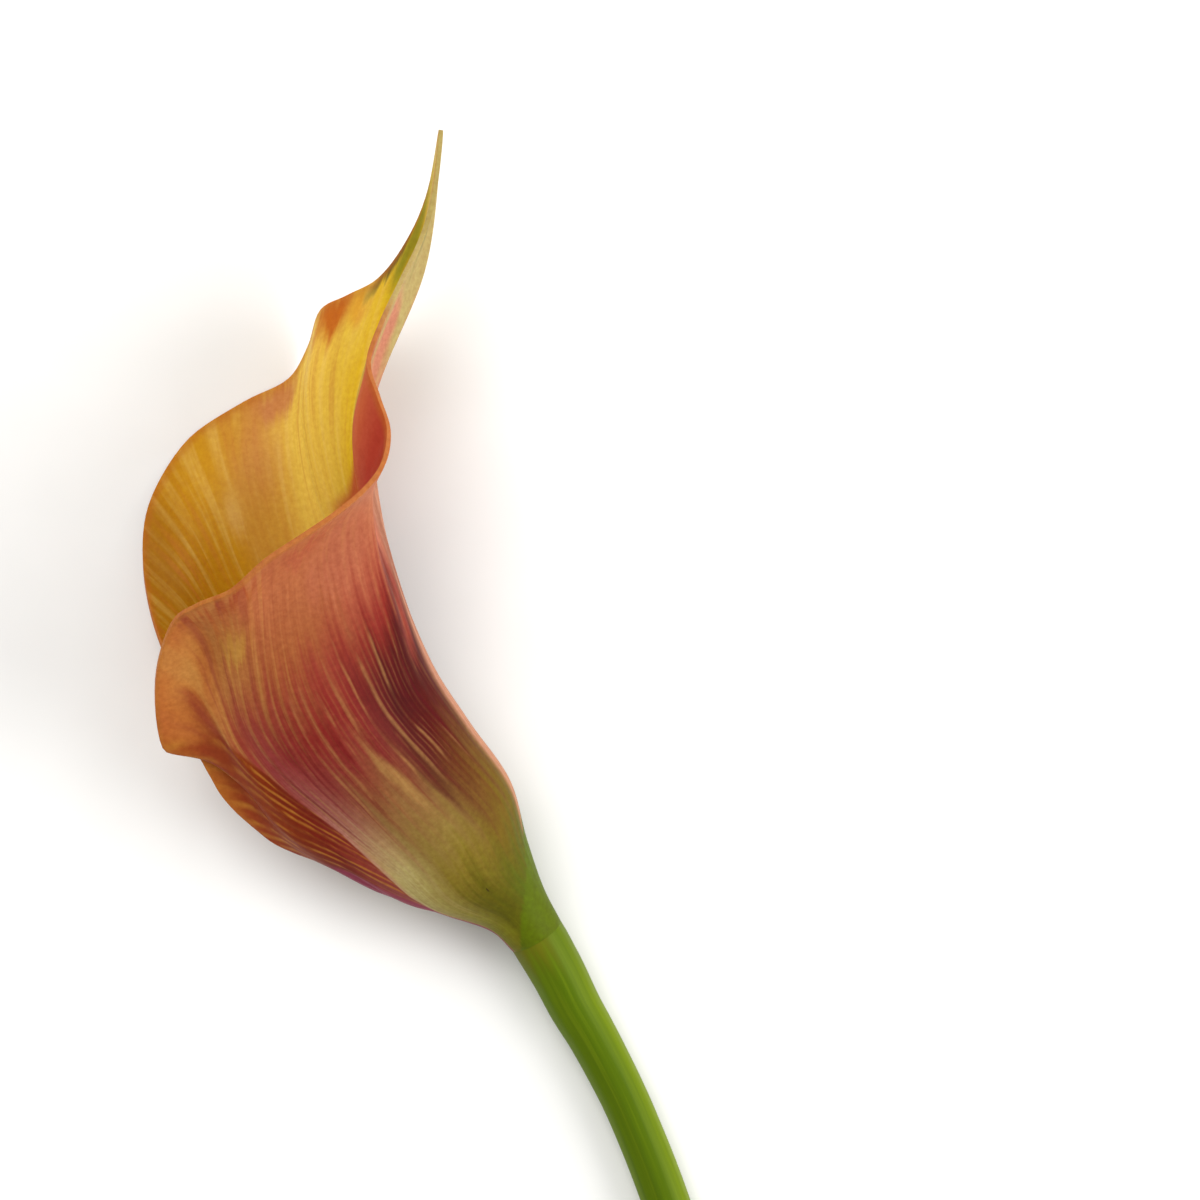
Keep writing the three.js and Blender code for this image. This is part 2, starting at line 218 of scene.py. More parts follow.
VEINS = 6 * (len(RIM) - 1)  # columns of the mesh, 6 from one line of the table to the next
STEPS = 110  # rows of the mesh, from the neck to the rim
FURROW = 0.05  # mm
nothing_selected()
bpy.ops.mesh.primitive_grid_add(
    x_subdivisions=VEINS, y_subdivisions=STEPS, size=2, calc_uvs=True
)
spathe = bpy.context.object
spathe.name = spathe.data.name = "spathe_leaf"
rows = np.array([between(RIM, i * (len(RIM) - 1) / VEINS) for i in range(VEINS + 1)])
leaf = np.array([vein(row, STEPS) for row in rows])

# Shallow furrows run between the veins in the outer face, one for every 9 degrees.
inward = np.cross(np.gradient(leaf, axis=0), np.gradient(leaf, axis=1))
inward /= np.linalg.norm(inward, axis=2, keepdims=True)
up_vein = np.linspace(0, 1, STEPS + 1)[None, :]
round_tube = rows[:, 0][:, None]
wave = 40 * round_tube + 120 * np.sin(np.radians(5 * round_tube))
furrow = 0.5 - 0.5 * np.cos(np.radians(wave))
furrow = furrow * ease(0.03, 0.2, up_vein) * (1 - ease(0.7, 0.95, up_vein))
leaf += inward * (FURROW * furrow)[:, :, None]
leaf[:, :, 2] = np.maximum(leaf[:, :, 2], 0)

flesh = spathe.vertex_groups.new(name="flesh")
for v in spathe.data.vertices:
    i, j = round((v.co.x + 1) / 2 * VEINS), round((v.co.y + 1) / 2 * STEPS)
    v.co = leaf[i, j] * MM
    wall = FLESH + (FLESH_AT_RIM - FLESH) * float(ease(0.5, 1, j / STEPS))
    flesh.add([v.index], wall / FLESH, "REPLACE")
# The leaf's own map: degrees round the tube / 360 + 0.5, and the share of the vein's length.
spathe.data.uv_layers[0].name = "veins"
for corner in spathe.data.uv_layers["veins"].uv:
    u, v = corner.vector
    corner.vector = rows[round(u * VEINS), 0] / 360 + 0.5, v


def colour(hex_code):
    """An sRGB hex code as linear RGBA."""
    parts = (int(hex_code[i : i + 2], 16) / 255 for i in (1, 3, 5))
    return (*(c / 12.92 if c <= 0.04045 else ((c + 0.055) / 1.055) ** 2.4 for c in parts), 1)


def add(tree, kind, inputs, stops=None, **settings):
    """A node with its settings, each input set to a value or linked to another's output."""
    made = tree.nodes.new(kind)
    for name, value in settings.items():
        setattr(made, name, value)
    for socket, value in inputs.items():
        if isinstance(value, bpy.types.Node):
            value = next(o for o in value.outputs if o.enabled)
        if isinstance(value, bpy.types.NodeSocket):
            tree.links.new(value, made.inputs[socket])
        else:
            made.inputs[socket].default_value = value
    if stops:
        while len(made.color_ramp.elements) < len(stops):
            made.color_ramp.elements.new(1)
        for element, (place, paint) in zip(made.color_ramp.elements, stops):
            element.position = place
            element.color = colour(paint)
    return made


def new_material(name):
    """A material with an empty node tree, and the tree."""
    made = bpy.data.materials.new(name)
    made.use_nodes = True
    made.node_tree.nodes.clear()
    return made, made.node_tree


SMOOTH = {"interpolation_type": "SMOOTHSTEP"}
COLOURS = {"data_type": "RGBA"}


def blush(tree, under, paint, spot, middle, reach, core=0.3, strength=1.0):
    """A soft patch of colour on the leaf: middle and reach are degrees and shares."""
    scale = (1 / reach[0], 1 / reach[1], 0)
    start = (-middle[0] / reach[0], -middle[1] / reach[1], 0)
    away = add(
        tree, "ShaderNodeVectorMath", {0: spot, 1: scale, 2: start}, operation="MULTIPLY_ADD"
    )
    away = add(tree, "ShaderNodeVectorMath", {0: away}, operation="LENGTH")
    cover = add(tree, "ShaderNodeMapRange", {0: away, 1: 1, 2: core, 3: 0, 4: strength}, **SMOOTH)
    return add(tree, "ShaderNodeMix", {0: cover, 6: under, 7: colour(paint)}, **COLOURS)


# Cells in a degree, which is a quarter of a millimetre at the belly, and in a vein's length,
# which is 78 mm there: the streaks are about 1 by 31 mm, and the blotches about 2 by 11 mm.
STREAK_CELLS = (0.25, 2.5, 0)
BLOTCH_CELLS = (0.12, 7, 0)


def leaf_places(tree, sway, run, lean):
    """Where a point is on the leaf: degrees round the tube and share of the vein's length, the
    same as a spot, degrees that lean with the grain, swayed degrees and share, two noises."""
    uv = add(tree, "ShaderNodeUVMap", {}, uv_map="veins")
    at = add(
        tree, "ShaderNodeVectorMath", {0: uv, 1: (360, 1, 1), 2: (-180, 0, 0)},
        operation="MULTIPLY_ADD",
    )
    degrees, share = add(tree, "ShaderNodeSeparateXYZ", {0: at}).outputs[:2]
    # On its way up the grain drifts to opposite sides of the line at 75 degrees.
    turn = add(
        tree, "ShaderNodeMath", {0: degrees, 1: math.pi / 90, 2: -math.radians(150)},
        operation="MULTIPLY_ADD",
    )
    turn = add(tree, "ShaderNodeMath", {0: turn}, operation="SINE")
    rise = add(
        tree, "ShaderNodeMath", {0: share, 1: lean, 2: -0.55 * lean}, operation="MULTIPLY_ADD"
    )
    leaning = add(
        tree, "ShaderNodeMath", {0: turn, 1: rise, 2: degrees}, operation="MULTIPLY_ADD"
    )
    grain = add(tree, "ShaderNodeCombineXYZ", {0: leaning, 1: share})
    long_grain = add(
        tree, "ShaderNodeVectorMath", {0: grain, 1: STREAK_CELLS}, operation="MULTIPLY"
    )
    streaks = add(
        tree, "ShaderNodeTexNoise", {"Vector": long_grain, "Detail": 3, "Scale": 1},
        noise_dimensions="2D",
    )
    short_grain = add(
        tree, "ShaderNodeVectorMath", {0: grain, 1: BLOTCH_CELLS}, operation="MULTIPLY"
    )
    blotches = add(
        tree, "ShaderNodeTexNoise", {"Vector": short_grain, "Detail": 3, "Scale": 1},
        noise_dimensions="2D",
    )
    moved = add(tree, "ShaderNodeCombineXYZ", {0: blotches, 1: streaks})
    moved = add(
        tree, "ShaderNodeVectorMath",
        {0: moved, 1: (sway, run, 0), 2: (-sway / 2, -run / 2, 0)}, operation="MULTIPLY_ADD",
    )
    spot = add(tree, "ShaderNodeVectorMath", {0: at, 1: moved}, operation="ADD")
    across, along = add(tree, "ShaderNodeSeparateXYZ", {0: spot}).outputs[:2]
    return degrees, share, spot, leaning, across, along, streaks, blotches


def vein_lines(tree, leaning, blotches, spacing, width):
    """Thin wandering lines along the veins, 1 on a line and 0 between them."""
    wander = add(
        tree, "ShaderNodeMath", {0: blotches, 1: 3, 2: leaning}, operation="MULTIPLY_ADD"
    )
    count = add(tree, "ShaderNodeMath", {0: wander, 1: spacing}, operation="DIVIDE")
    lines = add(
        tree, "ShaderNodeTexVoronoi", {"W": count, "Scale": 1, "Randomness": 0.7},
        voronoi_dimensions="1D", feature="DISTANCE_TO_EDGE",
    )
    return add(
        tree, "ShaderNodeMapRange",
        {0: lines.outputs["Distance"], 1: width / spacing, 2: 0, 3: 0, 4: 1}, **SMOOTH
    )


# Outside: the epidermis is satin wax over rose-red pigment. It is cream and olive at the foot,
# dark crimson in the middle, salmon below the lip under a painted highlight, and pale tan veins all
# along.
outer_skin, tree = new_material("spathe_outer_epidermis")
degrees, share, spot, leaning, across, along, streaks, blotches = leaf_places(tree, 10, 0.16, 35)
skin_colour = add(tree, "ShaderNodeValToRGB", {0: along}, stops=(  # beside the midrib
    (0.0, "#506204"), (0.10, "#505c06"), (0.17, "#5c5a0a"), (0.25, "#6e5812"),
    (0.33, "#6a4616"), (0.40, "#5c2c0c"), (0.46, "#500a04"), (0.55, "#460303"),
    (0.63, "#500404"), (0.70, "#7c2014"), (0.77, "#9e4a32"), (0.90, "#b46a46"),
))
on_top = add(tree, "ShaderNodeValToRGB", {0: along}, stops=(  # on top of the belly
    (0.0, "#605e0e"), (0.08, "#56540a"), (0.15, "#60580f"), (0.23, "#7d6c22"),
    (0.31, "#877034"), (0.39, "#876236"), (0.46, "#80462c"), (0.53, "#803028"),
    (0.62, "#802620"), (0.70, "#8c3828"), (0.78, "#9e5830"), (0.90, "#b0663e"),
))
by_margin = add(tree, "ShaderNodeValToRGB", {0: along}, stops=(  # towards the near margin
    (0.0, "#6f6e12"), (0.07, "#7a7618"), (0.13, "#897e2a"), (0.20, "#a5954e"),
    (0.28, "#bcab69"), (0.36, "#b79364"), (0.43, "#a86c58"), (0.50, "#994c46"),
    (0.60, "#943634"), (0.70, "#9a402f"), (0.79, "#b6743c"), (0.92, "#b86a2f"),
))
in_flap = add(tree, "ShaderNodeValToRGB", {0: along}, stops=(  # the flap under the belly
    (0.25, "#8e4a44"), (0.40, "#843226"), (0.50, "#701e12"), (0.60, "#76260c"),
    (0.72, "#8a360e"), (0.80, "#8c3612"), (0.88, "#963f1c"), (0.98, "#ac6224"),
))
from_keel = add(tree, "ShaderNodeMath", {0: across}, operation="ABSOLUTE")
for start, end, paints in ((56, 86, on_top), (106, 136, by_margin)):  # on both sides of the keel
    cover = add(tree, "ShaderNodeMapRange", {0: from_keel, 1: start, 2: end}, **SMOOTH)
    skin_colour = add(tree, "ShaderNodeMix", {0: cover, 6: skin_colour, 7: paints}, **COLOURS)
for paint, middle, reach, core, strength in (
    ("#481602", (67, 0.43), (9, 0.13), 0.2, 0.6),  # brown shade low beside the midrib
    # the salmon below the rolled lip is partly its own colour and partly a painted highlight
    ("#b06244", (64, 0.86), (24, 0.09), 0.3, 0.6),  # salmon below the rolled lip
    ("#a84c38", (84, 0.94), (16, 0.05), 0.2, 0.5),  # redder under the near rim
    ("#a2461e", (130, 0.965), (30, 0.035), 0.4, 0.6),  # shade under the near rim
    ("#c6943e", (128, 0.86), (13, 0.05), 0.2, 0.7),  # tan patch below it
    ("#c88c44", (158, 0.94), (16, 0.07), 0.2, 0.5),  # lighter on the lobe
    ("#8a2620", (50, 0.71), (12, 0.05), 0.1, 0.4),  # crimson that reaches up to it
    ("#7a1c1c", (93, 0.60), (6, 0.08), 0.1, 0.5),
    ("#7e1e20", (120, 0.62), (9, 0.08), 0.1, 0.5),
    ("#a88a48", (84, 0.47), (5, 0.16), 0.1, 0.45),  # tan between them
    ("#9a3a26", (25, 0.59), (13, 0.10), 0.2, 0.8),  # lighter crimson by the midrib
    # painted light: a bright salmon that lifts the side of the midrib lying in the lip's shade
    ("#d87e5e", (17, 0.71), (13, 0.12), 0.3, 0.85),  # salmon over the midrib
    ("#8c3414", (167, 0.83), (8, 0.13), 0.2, 0.6),  # shade between belly and lobe
    ("#342810", (88, 0.127), (1.6, 0.008), 0.5, 0.8),  # a small brown bruise
):
    skin_colour = blush(tree, skin_colour, paint, spot, middle, reach, core, strength)
# The midrib shows outside as a pale band, partly its own colour and partly painted light on its edge.
keel = add(tree, "ShaderNodeMapRange", {0: degrees, 1: 21, 2: 12, 3: 0, 4: 0.85}, **SMOOTH)
keel_end = add(tree, "ShaderNodeMapRange", {0: degrees, 1: -14, 2: 0}, **SMOOTH)
keel = add(tree, "ShaderNodeMath", {0: keel, 1: keel_end}, operation="MULTIPLY")
skin_colour = add(tree, "ShaderNodeMix", {0: keel, 6: skin_colour, 7: colour("#c68a6a")}, **COLOURS)

# Dark pigment in streaks between the veins, then the veins, strong ones about 2.5 mm apart
# and faint ones 0.8 mm. They show most in the middle of the leaf, less by the midrib.
dark = add(tree, "ShaderNodeMapRange", {0: streaks, 1: 0.5, 2: 0.7}, **SMOOTH)
shown = add(tree, "ShaderNodeMapRange", {0: along, 1: 0.36, 2: 0.48}, **SMOOTH)
gone = add(tree, "ShaderNodeMapRange", {0: along, 1: 0.82, 2: 0.66}, **SMOOTH)
shown = add(tree, "ShaderNodeMath", {0: shown, 1: gone}, operation="MULTIPLY")
for limit in (shown, 0.4):
    dark = add(tree, "ShaderNodeMath", {0: dark, 1: limit}, operation="MULTIPLY")
skin_colour = add(tree, "ShaderNodeMix", {0: dark, 6: skin_colour, 7: colour("#5e0c12")}, **COLOURS)
lower = add(tree, "ShaderNodeMapRange", {0: along, 1: 0.34, 2: 0.46}, **SMOOTH)
upper = add(tree, "ShaderNodeMapRange", {0: along, 1: 0.84, 2: 0.62}, **SMOOTH)
broken = add(tree, "ShaderNodeMapRange", {0: blotches, 1: 0.4, 2: 0.62, 3: 0.15, 4: 1}, **SMOOTH)
aside = add(tree, "ShaderNodeMapRange", {0: from_keel, 1: 18, 2: 60, 3: 0.25, 4: 1}, **SMOOTH)
seen = lower
for limit in (upper, aside, broken):
    seen = add(tree, "ShaderNodeMath", {0: seen, 1: limit}, operation="MULTIPLY")
for paint, spacing, width, strength in (
    ("#b0824a", 9.5, 1.6, 0.38), ("#a06c3c", 3.2, 1.0, 0.2),
):
    lines = vein_lines(tree, leaning, blotches, spacing, width)
    for limit in (seen, strength):
        lines = add(tree, "ShaderNodeMath", {0: lines, 1: limit}, operation="MULTIPLY")
    skin_colour = add(tree, "ShaderNodeMix", {0: lines, 6: skin_colour, 7: colour(paint)}, **COLOURS)
# On the lobe and below the lip they dissolve into soft golden and rosy flames.
lobe = add(tree, "ShaderNodeMapRange", {0: across, 1: 85, 2: 130, 3: 0.12, 4: 1}, **SMOOTH)
raised = add(tree, "ShaderNodeMapRange", {0: along, 1: 0.58, 2: 0.74}, **SMOOTH)
flames = add(tree, "ShaderNodeMath", {0: lobe, 1: raised}, operation="MULTIPLY")
for paint, start, end, strength in (("#c4924a", 0.5, 0.72, 0.4), ("#943a2c", 0.52, 0.32, 0.5)):
    cover = add(tree, "ShaderNodeMapRange", {0: streaks, 1: start, 2: end, 3: 0, 4: strength}, **SMOOTH)
    cover = add(tree, "ShaderNodeMath", {0: cover, 1: flames}, operation="MULTIPLY")
    skin_colour = add(tree, "ShaderNodeMix", {0: cover, 6: skin_colour, 7: colour(paint)}, **COLOURS)

# The flap starts at a crease, and its orange stripes run out of the crease to the rim.
crease_low = add(tree, "ShaderNodeMapRange", {0: share, 1: 0.28, 2: 0.44, 3: 168, 4: 150})
crease_high = add(tree, "ShaderNodeMapRange", {0: share, 1: 0.62, 2: 0.92, 3: 0, 4: 22})
crease = add(tree, "ShaderNodeMath", {0: crease_low, 1: crease_high}, operation="ADD")
past = add(tree, "ShaderNodeMath", {0: degrees, 1: crease}, operation="SUBTRACT")
flap = add(tree, "ShaderNodeMapRange", {0: past, 1: -1.5, 2: 1.5}, **SMOOTH)
ridge = add(tree, "ShaderNodeMapRange", {0: past, 1: -8, 2: -1, 3: 0, 4: 0.35}, **SMOOTH)
low = add(tree, "ShaderNodeMapRange", {0: share, 1: 0.55, 2: 0.42}, **SMOOTH)
ridge = add(tree, "ShaderNodeMath", {0: ridge, 1: low}, operation="MULTIPLY")
skin_colour = add(tree, "ShaderNodeMix", {0: ridge, 6: skin_colour, 7: colour("#bd8476")}, **COLOURS)
run_out = add(
    tree, "ShaderNodeMath", {0: share, 1: -40, 2: degrees}, operation="MULTIPLY_ADD"
)
stripes = vein_lines(tree, run_out, blotches, 4.4, 1.5)
for limit in (broken, 0.65):
    stripes = add(tree, "ShaderNodeMath", {0: stripes, 1: limit}, operation="MULTIPLY")
flap_colour = add(tree, "ShaderNodeMix", {0: stripes, 6: in_flap, 7: colour("#bc7c2e")}, **COLOURS)
hem = add(tree, "ShaderNodeMath", {0: share, 1: -48, 2: degrees}, operation="MULTIPLY_ADD")
hem = add(tree, "ShaderNodeMapRange", {0: hem, 1: 158.5, 2: 161.5, 3: 0, 4: 0.8}, **SMOOTH)
ends = add(tree, "ShaderNodeMapRange", {0: share, 1: 0.64, 2: 0.54}, **SMOOTH)
hem = add(tree, "ShaderNodeMath", {0: hem, 1: ends}, operation="MULTIPLY")
flap_colour = add(tree, "ShaderNodeMix", {0: hem, 6: flap_colour, 7: colour("#8c2c4c")}, **COLOURS)
skin_colour = add(tree, "ShaderNodeMix", {0: flap, 6: skin_colour, 7: flap_colour}, **COLOURS)

# The tail is cream with pink blushes on its near side and olive at its end.
by_tail = add(tree, "ShaderNodeMapRange", {0: across, 1: 24, 2: 17}, **SMOOTH)
far_side = add(tree, "ShaderNodeMapRange", {0: across, 1: -34, 2: -24}, **SMOOTH)
by_tail = add(tree, "ShaderNodeMath", {0: by_tail, 1: far_side}, operation="MULTIPLY")
high = add(tree, "ShaderNodeMapRange", {0: along, 1: 0.74, 2: 0.84}, **SMOOTH)
tail = add(tree, "ShaderNodeMath", {0: by_tail, 1: high}, operation="MULTIPLY")
skin_colour = add(tree, "ShaderNodeMix", {0: tail, 6: skin_colour, 7: colour("#b29e62")}, **COLOURS)
skin_colour = blush(tree, skin_colour, "#c47862", spot, (14, 0.87), (7, 0.11), 0.2, 0.85)
skin_colour = blush(tree, skin_colour, "#6e6c20", spot, (3, 1.0), (9, 0.09), 0.3, 0.85)

# The stem's green runs up into the foot in a wedge with a clear edge.
off_keel = add(tree, "ShaderNodeMath", {0: degrees}, operation="ABSOLUTE")
wedge = add(tree, "ShaderNodeMath", {0: share, 1: 800, 2: off_keel}, operation="MULTIPLY_ADD")
wedge = add(tree, "ShaderNodeMath", {0: streaks, 1: 20, 2: wedge}, operation="MULTIPLY_ADD")
green = add(tree, "ShaderNodeMapRange", {0: wedge, 1: 156, 2: 147}, **SMOOTH)
skin_colour = add(tree, "ShaderNodeMix", {0: green, 6: skin_colour, 7: colour("#566606")}, **COLOURS)
# The rim is a thin tan line, and cream along the tail.
rim_line = add(tree, "ShaderNodeMapRange", {0: share, 1: 0.985, 2: 0.998, 3: 0, 4: 0.6}, **SMOOTH)
rim_paint = add(
    tree, "ShaderNodeMix", {0: by_tail, 6: colour("#b06c2c"), 7: colour("#b8a264")}, **COLOURS
)
skin_colour = add(tree, "ShaderNodeMix", {0: rim_line, 6: skin_colour, 7: rim_paint}, **COLOURS)


def satin_wax(tree, skin_colour, full_cells, cover, light_reach):
    """Ends a skin of the leaf: groups of cells under a millimetre across that hold more or
    less pigment and stand up a little, and the gloss and the glow of satin wax on flesh."""
    metres = add(tree, "ShaderNodeTexCoord", {}).outputs["Object"]
    cells = add(
        tree, "ShaderNodeTexNoise",
        {"Vector": metres, "Scale": 1.3 * PER_MM, "Detail": 3, "Roughness": 0.6},
    )
    grain = add(tree, "ShaderNodeValToRGB", {0: cells}, stops=((0.3, "#ffffff"), (0.7, full_cells)))
    skin_colour = add(
        tree, "ShaderNodeMix", {0: cover, 6: skin_colour, 7: grain}, blend_type="MULTIPLY", **COLOURS
    )
    relief = add(tree, "ShaderNodeBump", {"Height": cells, "Strength": 0.12, "Distance": 0.1 * MM})
    wax = add(tree, "ShaderNodeBsdfPrincipled", {
        "Base Color": skin_colour, "Normal": relief, "Roughness": 0.5, "IOR": 1.42,
        "Specular IOR Level": 0.08, "Subsurface Weight": 0.08,
        "Subsurface Radius": light_reach, "Subsurface Scale": 0.6 * MM,
    })
    add(tree, "ShaderNodeOutputMaterial", {"Surface": wax})


satin_wax(tree, skin_colour, "#b48478", 0.35, (1.0, 0.45, 0.2))

# Inside: the same satin wax over yellow pigment, golden by the tail and amber towards the far
# margin, with painted shade there, a rusty rim, light and rusty streaks, and a deep red rolled lip.
inner_skin, tree = new_material("spathe_inner_epidermis")
degrees, share, spot, _, across, along, streaks, _ = leaf_places(tree, 9, 0.08, 0)
round_leaf = add(tree, "ShaderNodeMapRange", {0: across, 1: -180, 2: 0, 3: 0, 4: 1})
# its darker amber stops at the far left are partly painted shade under the near lip
skin_colour = add(tree, "ShaderNodeValToRGB", {0: round_leaf}, stops=(
    (0.16, "#a8740c"), (0.29, "#a06a06"), (0.38, "#b27a08"), (0.46, "#c08a16"),
    (0.53, "#c48e32"), (0.60, "#d0a03a"), (0.66, "#dcb646"), (0.73, "#eac650"),
    (0.80, "#e4bc46"), (0.86, "#dab43a"), (0.92, "#d6ae18"), (1.0, "#c4a418"),
))
deep = add(tree, "ShaderNodeMapRange", {0: along, 1: 0.5, 2: 0.1, 3: 0, 4: 0.8}, **SMOOTH)
skin_colour = add(tree, "ShaderNodeMix", {0: deep, 6: skin_colour, 7: colour("#98a038")}, **COLOURS)
light = add(tree, "ShaderNodeMapRange", {0: streaks, 1: 0.48, 2: 0.75, 3: 0, 4: 0.3}, **SMOOTH)
skin_colour = add(tree, "ShaderNodeMix", {0: light, 6: skin_colour, 7: colour("#e2c268")}, **COLOURS)
rusty = add(tree, "ShaderNodeMapRange", {0: streaks, 1: 0.5, 2: 0.3, 3: 0, 4: 0.35}, **SMOOTH)
by_rim = add(tree, "ShaderNodeMapRange", {0: along, 1: 0.68, 2: 0.86, 3: 0.3, 4: 1}, **SMOOTH)
rusty = add(tree, "ShaderNodeMath", {0: rusty, 1: by_rim}, operation="MULTIPLY")
skin_colour = add(tree, "ShaderNodeMix", {0: rusty, 6: skin_colour, 7: colour("#b8682c")}, **COLOURS)
for paint, middle, reach, core, strength in (
    ("#d8b060", (-92, 0.83), (9, 0.06), 0.1, 0.55),  # light patch inside the far lip
    ("#c07c4a", (-78, 0.90), (11, 0.13), 0.2, 0.4),  # pinkish streak beside it
    ("#b86a44", (-70, 0.975), (16, 0.05), 0.2, 0.75),  # rust along the far rim
    # amber at the far left, partly painted shade under the near lip
    ("#9c6604", (-125, 0.96), (22, 0.08), 0.3, 0.6),  # amber at the far left
    ("#b85a04", (-32, 0.975), (9, 0.06), 0.2, 0.95),  # deep orange corner
    ("#d0881c", (-22, 0.97), (6, 0.04), 0.2, 0.6),
    ("#7a7a12", (-8, 0.95), (7, 0.06), 0.2, 0.85),  # green line into the tail
    ("#483e10", (-13, 1.0), (10, 0.03), 0.3, 0.9),  # dark edge of the tail
):
    skin_colour = blush(tree, skin_colour, paint, spot, middle, reach, core, strength)
tail = add(tree, "ShaderNodeMapRange", {0: across, 1: -6, 2: 0, 3: 0, 4: 0.8}, **SMOOTH)
high = add(tree, "ShaderNodeMapRange", {0: along, 1: 0.84, 2: 0.92}, **SMOOTH)
before_lip = add(tree, "ShaderNodeMapRange", {0: across, 1: 20, 2: 12}, **SMOOTH)
for limit in (high, before_lip):
    tail = add(tree, "ShaderNodeMath", {0: tail, 1: limit}, operation="MULTIPLY")
skin_colour = add(tree, "ShaderNodeMix", {0: tail, 6: skin_colour, 7: colour("#bcaa58")}, **COLOURS)
# The red of the lip has a clear edge that runs down into the throat.
edge = add(tree, "ShaderNodeMapRange", {0: degrees, 1: -12, 2: 26, 3: 0.70, 4: 0.87})
edge_up = add(tree, "ShaderNodeMapRange", {0: degrees, 1: 25, 2: 28.5, 3: 0, 4: 0.2})
edge = add(tree, "ShaderNodeMath", {0: edge, 1: edge_up}, operation="ADD")
below = add(tree, "ShaderNodeMath", {0: edge, 1: share}, operation="SUBTRACT")
lip = add(tree, "ShaderNodeMapRange", {0: below, 1: -0.012, 2: 0.02}, **SMOOTH)
for place, start, end in ((across, -42, -28), (across, 120, 80), (along, 0.5, 0.66)):
    limit = add(tree, "ShaderNodeMapRange", {0: place, 1: start, 2: end}, **SMOOTH)
    lip = add(tree, "ShaderNodeMath", {0: lip, 1: limit}, operation="MULTIPLY")
lip_places = add(tree, "ShaderNodeMapRange", {0: degrees, 1: 26, 2: 46})
lip_colour = add(tree, "ShaderNodeValToRGB", {0: lip_places}, stops=(
    (0.1, "#bb5a30"), (0.3, "#b0482c"), (0.6, "#a63826"), (1.0, "#9c2e10"),
))
skin_colour = add(tree, "ShaderNodeMix", {0: lip, 6: skin_colour, 7: lip_colour}, **COLOURS)
rim_line = add(tree, "ShaderNodeMapRange", {0: share, 1: 0.975, 2: 0.998, 3: 0, 4: 0.5}, **SMOOTH)
skin_colour = add(tree, "ShaderNodeMix", {0: rim_line, 6: skin_colour, 7: colour("#b0601c")}, **COLOURS)
satin_wax(tree, skin_colour, "#d09a80", 0.3, (1.0, 0.6, 0.15))
spathe.data.materials.append(outer_skin)
spathe.data.materials.append(inner_skin)

bpy.ops.object.mode_set(mode="EDIT")
bpy.ops.mesh.select_all(action="SELECT")
bpy.ops.mesh.flip_normals()
bpy.ops.object.mode_set(mode="OBJECT")
wall = spathe.modifiers.new("flesh", "SOLIDIFY")
wall.thickness = FLESH * MM
wall.offset = -1
wall.vertex_group = "flesh"
wall.material_offset = 1
bpy.ops.object.modifier_apply(modifier="flesh")
rim = spathe.modifiers.new("rounded_rim", "BEVEL")
rim.width = 0.22 * MM
rim.segments = 2
rim.limit_method = "ANGLE"
rim.angle_limit = math.radians(55)
bpy.ops.object.modifier_apply(modifier="rounded_rim")
bpy.ops.object.shade_smooth_by_angle(angle=math.radians(60))
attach(spathe, "root")
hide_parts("spathe")

# ------------------------------------------------------------------------------- spadix
# The spadix is a fleshy finger in the middle of the tube. Its lower quarter carries pale
# green ovaries, the rest golden anthers, packed in spirals and each about a millimetre wide.
SPADIX_FOOT = 3.3  # mm along the tube's axis
SPADIX_TOP = 42
FOOT_RADIUS = 1.75  # mm, of the finger that the florets cover
BODY_RADIUS = 2.75
OVARY_BAND = 9.5  # mm, from the foot up
OVARY = 0.62  # mm, half its width
ANTHER = 0.46
SUNK = 0.12  # mm that a floret's middle lies under the finger's face
ROOM = 2.35  # face that a floret takes up, in squares of its half width
TIP_LEAN = 1.3  # radians that the last florets lean towards the tip
GOLDEN_ANGLE = math.radians(137.508)


def spadix_share(h):
    return (h - SPADIX_FOOT) / (SPADIX_TOP - SPADIX_FOOT)


def spadix_radius(h):
    """Swells above the foot, narrows a little from half way up, and ends in a round tip."""
    share = spadix_share(h)
    swell = FOOT_RADIUS + (BODY_RADIUS - FOOT_RADIUS) * float(ease(0, 0.25, share))
    tip = math.sqrt(max(1 - max((share - 0.9) / 0.101, 0) ** 2, 0))
    return swell * (1 - 0.12 * float(ease(0.5, 0.95, share))) * tip


def round_axis(h, angle, reach):
    return tube_middle(h) + (SIDE * math.cos(angle) + TOP * math.sin(angle)) * reach


nothing_selected()
bpy.ops.mesh.primitive_cylinder_add(vertices=28, radius=1, depth=2, end_fill_type="TRIFAN")
core = bpy.context.object
core.name = core.data.name = "spadix_core"
# The core is a plain cone inside the florets, which hide it.
for v in core.data.vertices:
    h = SPADIX_TOP if v.co.z > 0 else SPADIX_FOOT
    on_axis = math.hypot(v.co.x, v.co.y) < 0.01
    reach = 0 if on_axis else spadix_radius(h)
    v.co = round_axis(h, math.atan2(v.co.y, v.co.x), reach) * MM


def floret_copies(master, places):
    """One mesh of copies of a floret: each place is (middle, outward, upward, scale)."""
    shape = np.array([v.co for v in master.data.vertices])
    faces = [tuple(p.vertices) for p in master.data.polygons]
    points, copies = [], []
    for middle, outward, upward, scale in places:
        turn = np.stack([np.cross(outward, upward), upward, outward])
        copies += [tuple(k + len(points) * len(shape) for k in f) for f in faces]
        points.append(shape * scale @ turn + middle)
    made = bpy.data.meshes.new(master.name)
    made.from_pydata(np.vstack(points) * MM, [], copies)
    return made


nothing_selected()
bpy.ops.mesh.primitive_uv_sphere_add(segments=8, ring_count=5, radius=1)
floret = bpy.context.object
floret.name = "floret"
# An anther is a four-lobed cushion: its sides are pinched in and its top is dimpled.
for v in floret.data.vertices:
    x, y, z = v.co
    lobes = 1 + 0.12 * math.cos(4 * math.atan2(y, x))
    dimple = 0.25 * max(0, z) * max(0, 1 - 2 * math.hypot(x, y))
    v.co = x * lobes, y * lobes, 0.75 * z - dimple

